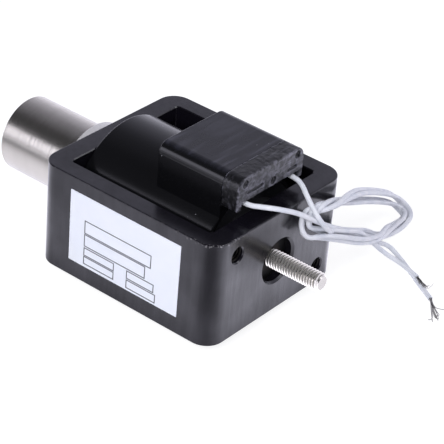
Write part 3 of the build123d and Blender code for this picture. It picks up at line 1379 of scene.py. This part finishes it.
    def strands(self, lead: Lead, tinned: bpy.types.Material) -> bpy.types.Object:
        """Makes the fraying bare strands of a stripped end.

        Args:
            lead: The wire.
            tinned: The strands' material.

        Returns:
            The strands as one mesh.
        """
        name = f"{lead.name}_strands"
        draw = random.Random(lead.seed)
        start, end = Vector(lead.tail[-1]), Vector(lead.bare_tip)
        reach = (end - start).length
        along = (end - start).normalized()
        across = along.cross(Vector((0.0, 0.0, 1.0))).normalized()
        above = across.cross(along)
        lies, frays = self.strand_places
        threads = []
        for number in range(self.strand_count):
            turn = 2.0 * math.pi * number / self.strand_count
            later = turn + self.strand_twist
            ring = self.strand_rings[number % 2]
            foot = (across * math.cos(turn) + above * math.sin(turn)) * ring
            lay = (across * math.cos(later) + above * math.sin(later)) * ring
            sway = across * draw.uniform(-lead.looseness, lead.looseness)
            fray = (sway + above * draw.uniform(*self.strand_lift)) * reach
            share = draw.uniform(*self.strand_shares)
            points = [start - along * self.strand_tuck + foot, start + along * lies * reach + lay]
            if number == 0:
                points.extend(Vector(point) for point in lead.stray)
            else:
                bend = lay * self.strand_spread + fray * self.fray_begun
                points.append(start + along * frays * reach * share + bend)
                points.append(start + along * reach * share + foot * self.strand_spread + fray)
                if number % self.hook_every == 1:
                    hook = across * draw.choice((-1.0, 1.0)) * lead.looseness
                    points.append(points[-1] + (hook - along * self.hook_back) * reach)
            for point in points:
                point.z = max(point.z, self.lowest_strand)
            places = [point * MM for point in points]
            radius = self.strand_radius * MM
            threads.append(self.curve(f"{name}_{number}", places, radius, self.strand_fineness))
        Bench.pick(*threads)
        bpy.ops.object.convert(target="MESH")
        bpy.ops.object.join()
        made = bpy.context.object
        made.name = made.data.name = name
        Bench.smooth(made, self.sharp)
        Bench.dress(made, tinned)
        return made


@dataclass(frozen=True)
class Softbox:
    """A soft lamp: its place, its size, how bright its face is and whether metal mirrors it."""

    name: str
    stands: Point
    width: float
    height: float
    brightness: float
    mirrored: bool = True


@dataclass
class Studio:
    """Pale floor, plain surroundings and soft lamps.

    What shiny surfaces mirror is set apart from what the eye sees. The floor's mirror image has a
    painted contact shadow close to the frame and painted shadows in the spots, each with its place,
    reach and depth, and a painted pool of light where the depth is negative. The room has one ramp
    from the horizon up behind the object, another before it, and a pale patch to the side.
    """

    floor_level: float = -22.2 * MM
    floor_size: float = 8.0
    floor_glow: float = 0.84
    floor_lit: Colour = tone(228, 228, 228)
    floor_seen: Colour = tone(160, 160, 160)
    floor_mirrored: Colour = tone(100, 100, 100)
    white: Colour = (1.0, 1.0, 1.0, 1.0)
    cool_white: Colour = (0.96, 0.972, 1.03, 1.0)
    mirror_tint: Colour = (0.945, 0.935, 1.085, 1.0)
    mirror_glow: float = 1.12
    frame_middle: float = -34.3 * MM
    frame_half_length: float = 34.3 * MM
    frame_half_width: float = 30.5 * MM
    # painted contact shadow round the frame in the floor's mirror image: its light at the frame,
    # and its reach
    contact_shadow_light: float = 0.4
    contact_shadow_reach: float = 16.0 * MM
    # painted shadows of the object on the mirrored floor; the negative depth paints a pool of light
    painted_shadow_and_light_spots: Tuple[Tuple[float, float, float, float], ...] = (
        (28.0 * MM, -72.0 * MM, 62.0 * MM, 0.75),
        (-190.0 * MM, -165.0 * MM, 180.0 * MM, 0.95),
        (18.0 * MM, 14.0 * MM, 80.0 * MM, -0.45),
        (31.0 * MM, 28.0 * MM, 20.0 * MM, 0.6),
    )
    spot_core: float = 0.2
    room_behind: Tuple[Tuple[float, Colour], ...] = (
        (0.0, (1.0, 0.985, 1.14, 1.0)),
        (0.16, (0.92, 0.91, 1.07, 1.0)),
        (0.3, (0.64, 0.635, 0.76, 1.0)),
        (0.6, (0.43, 0.425, 0.52, 1.0)),
        (0.8, (0.14, 0.14, 0.165, 1.0)),
    )
    room_before: Tuple[Tuple[float, Colour], ...] = (
        (0.0, (0.3, 0.3, 0.36, 1.0)),
        (0.06, (0.3, 0.3, 0.36, 1.0)),
        (0.18, (0.12, 0.12, 0.14, 1.0)),
        (0.8, (0.045, 0.045, 0.05, 1.0)),
    )
    room_divide: Tuple[float, float] = (-0.25, 0.25)
    patch_towards: Point = (-0.506, -0.813, 0.288)
    patch_edge: Tuple[float, float] = (0.957, 0.99)
    patch_strength: float = 2.2
    target: Point = (-30.0 * MM, 0.0, 0.0)
    lamps: Tuple[Softbox, ...] = (
        Softbox(
            name="front_softbox",
            stands=(0.16, -0.66, 0.52),
            width=0.6,
            height=0.36,
            brightness=8.3,
            mirrored=False,
        ),
        Softbox(
            name="right_softbox",
            stands=(0.42, 0.3, 0.62),
            width=0.5,
            height=0.4,
            brightness=2.9,
        ),
    )

    def build(self) -> None:
        """Sets up floor, surroundings and lamps."""
        self.floor()
        self.surroundings()
        for lamp in self.lamps:
            self.lamp(lamp)

    def floor(self) -> None:
        """Lays the floor, white to the eye and in reflections, with the object's soft shadow."""
        Bench.clear()
        bpy.ops.mesh.primitive_plane_add(
            size=self.floor_size, location=(0.0, 0.0, self.floor_level)
        )
        plane = bpy.context.object
        plane.name = "studio_floor"
        made = bpy.data.materials.new("studio_white")
        made.use_nodes = True
        book = NodeBook(made.node_tree)
        camera = book.node("ShaderNodeLightPath", output="Is Camera Ray")
        outputs = camera.socket.node.outputs
        mirrored = Shade(book, outputs["Is Glossy Ray"])
        seen = camera.over(Shade(book, outputs["Is Transmission Ray"]))
        lit = book.mix(seen, self.floor_lit, self.floor_seen)
        paint = book.mix(mirrored, lit, self.floor_mirrored)
        matt = book.node("ShaderNodeBsdfDiffuse", None, {"Color": paint})
        image = {"Color": self.mirror_tint, "Strength": self.mirror_image(book) * mirrored}
        cool = book.node("ShaderNodeEmission", None, image)
        plain = {"Color": self.white, "Strength": seen * self.floor_glow}
        glow = book.node("ShaderNodeEmission", None, plain)
        glows = book.node("ShaderNodeAddShader", None, {0: glow, 1: cool})
        both = book.node("ShaderNodeAddShader", None, {0: matt, 1: glows})
        book.node("ShaderNodeOutputMaterial", None, {"Surface": both})
        Bench.dress(plane, made)

    def mirror_image(self, book: NodeBook) -> Shade:
        """Says how bright the floor is where shiny surfaces mirror it, with painted shadows and
        light.

        Args:
            book: The nodes of the floor's material.

        Returns:
            The brightness.
        """
        x, y, _ = book.axes()
        along = abs(x - self.frame_middle) - self.frame_half_length
        aside = along.over(abs(y) - self.frame_half_width)
        # painted contact shadow near the frame, then painted shadows and light in the spots
        opened = aside.step(0.0, self.contact_shadow_reach) * (1.0 - self.contact_shadow_light)
        light = (self.contact_shadow_light + opened) * self.mirror_glow
        for spot_x, spot_y, reach, depth in self.painted_shadow_and_light_spots:
            away = ((x - spot_x) ** 2.0 + (y - spot_y) ** 2.0) ** 0.5
            inside = 1.0 - away.step(reach * self.spot_core, reach)
            light = (1.0 - inside * depth) * light
        return light

    def surroundings(self) -> None:
        """Makes a room that is pale at the horizon, dim overhead and dimmer before the object."""
        world = bpy.data.worlds.new("studio_room")
        bpy.context.scene.world = world
        world.use_nodes = True
        book = NodeBook(world.node_tree)
        view = book.node("ShaderNodeTexCoord", output="Generated")
        height = book.node("ShaderNodeSeparateXYZ", None, {"Vector": view}, "Z")
        depth = Shade(book, height.socket.node.outputs["Y"])
        back = book.node("ShaderNodeValToRGB", {"stops": self.room_behind}, {"Fac": height})
        front = book.node("ShaderNodeValToRGB", {"stops": self.room_before}, {"Fac": height})
        colour = book.mix(depth.step(*self.room_divide), front, back)
        sky = book.node("ShaderNodeBackground", None, {"Color": colour})
        product = {"operation": "DOT_PRODUCT"}
        sides = {0: view, 1: self.patch_towards}
        facing = book.node("ShaderNodeVectorMath", product, sides, "Value")
        pale = {"Color": self.mirror_tint, "Strength": self.patch_strength}
        patch = book.node("ShaderNodeBackground", None, pale)
        shares = {0: facing.step(*self.patch_edge), 1: sky, 2: patch}
        room = book.node("ShaderNodeMixShader", None, shares)
        book.node("ShaderNodeOutputWorld", None, {"Surface": room})

    def lamp(self, box: Softbox) -> None:
        """Hangs one softbox, turned to the object.

        Args:
            box: The softbox.
        """
        Bench.clear()
        bpy.ops.object.light_add(type="AREA", location=box.stands)
        lamp = bpy.context.object
        lamp.name = box.name
        lamp.data.shape = "RECTANGLE"
        lamp.data.size = box.width
        lamp.data.size_y = box.height
        lamp.data.energy = box.brightness * math.pi * box.width * box.height
        lamp.data.color = self.cool_white[:3]
        aim = Vector(self.target) - Vector(box.stands)
        lamp.rotation_euler = aim.to_track_quat("-Z", "Y").to_euler()
        lamp.visible_camera = False
        lamp.visible_glossy = box.mirrored


@dataclass
class ViewCamera:
    """Camera at the photograph's viewing angle, in metres."""

    stands: Point = (0.27014, -0.38951, 0.31428)
    right: Point = (0.7683, 0.6358, 0.0748)
    up: Point = (-0.3927, 0.3757, 0.8395)
    back: Point = (0.5056, -0.6743, 0.5382)
    lens: float = 156.27
    sensor: float = 36.0
    clip: Tuple[float, float] = (0.01, 20.0)

    def build(self) -> None:
        """Makes the camera and gives it to the scene."""
        data = bpy.data.cameras.new("view_camera")
        data.lens = self.lens
        data.sensor_width = self.sensor
        data.clip_start, data.clip_end = self.clip
        camera = bpy.data.objects.new("view_camera", data)
        bpy.context.scene.collection.objects.link(camera)
        turn = Matrix((self.right, self.up, self.back)).transposed().to_4x4()
        camera.matrix_world = Matrix.Translation(self.stands) @ turn
        bpy.context.scene.camera = camera


def main() -> None:
    """Builds the part's looks in order, then light and camera."""
    logging.basicConfig(level=logging.INFO, format="%(message)s")
    bpy.context.scene.view_settings.view_transform = "Standard"
    for assembly in (
        ViewCamera(),
        FlyingLeads(),
        SteelFrame(),
        CoilAssembly(),
        TerminalBlock(),
        Armature(),
        Studio(),
    ):
        assembly.build()
    Bench.clear()


if __name__ == "__main__":
    main()
